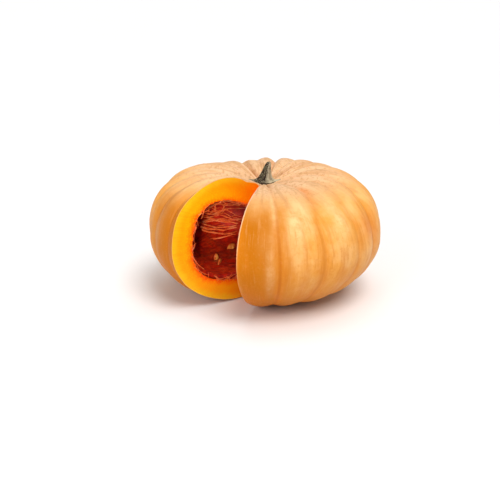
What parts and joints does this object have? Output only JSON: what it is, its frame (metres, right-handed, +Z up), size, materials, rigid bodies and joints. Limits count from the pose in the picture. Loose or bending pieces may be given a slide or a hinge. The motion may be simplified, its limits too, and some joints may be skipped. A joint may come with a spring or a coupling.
{
  "type": "kabocha squash",
  "caption": "Flat, deeply lobed winter squash with one wedge cut out, open to its flesh and seed cavity.",
  "frame": {"origin": "on the fruit's axis, on the flat spot that it rests on", "axes": "+Z up along the fruit's axis to the stem, -Y through the middle of the open notch"},
  "size_m": [0.3037, 0.2957, 0.1714],
  "materials": {
    "rind": "satin",
    "stem": "matte",
    "pulp": "satin"
  },
  "bodies": {
    "root": {"squash_body": "rind", "stem": "stem", "pulp": "pulp"}
  },
  "joints": []
}
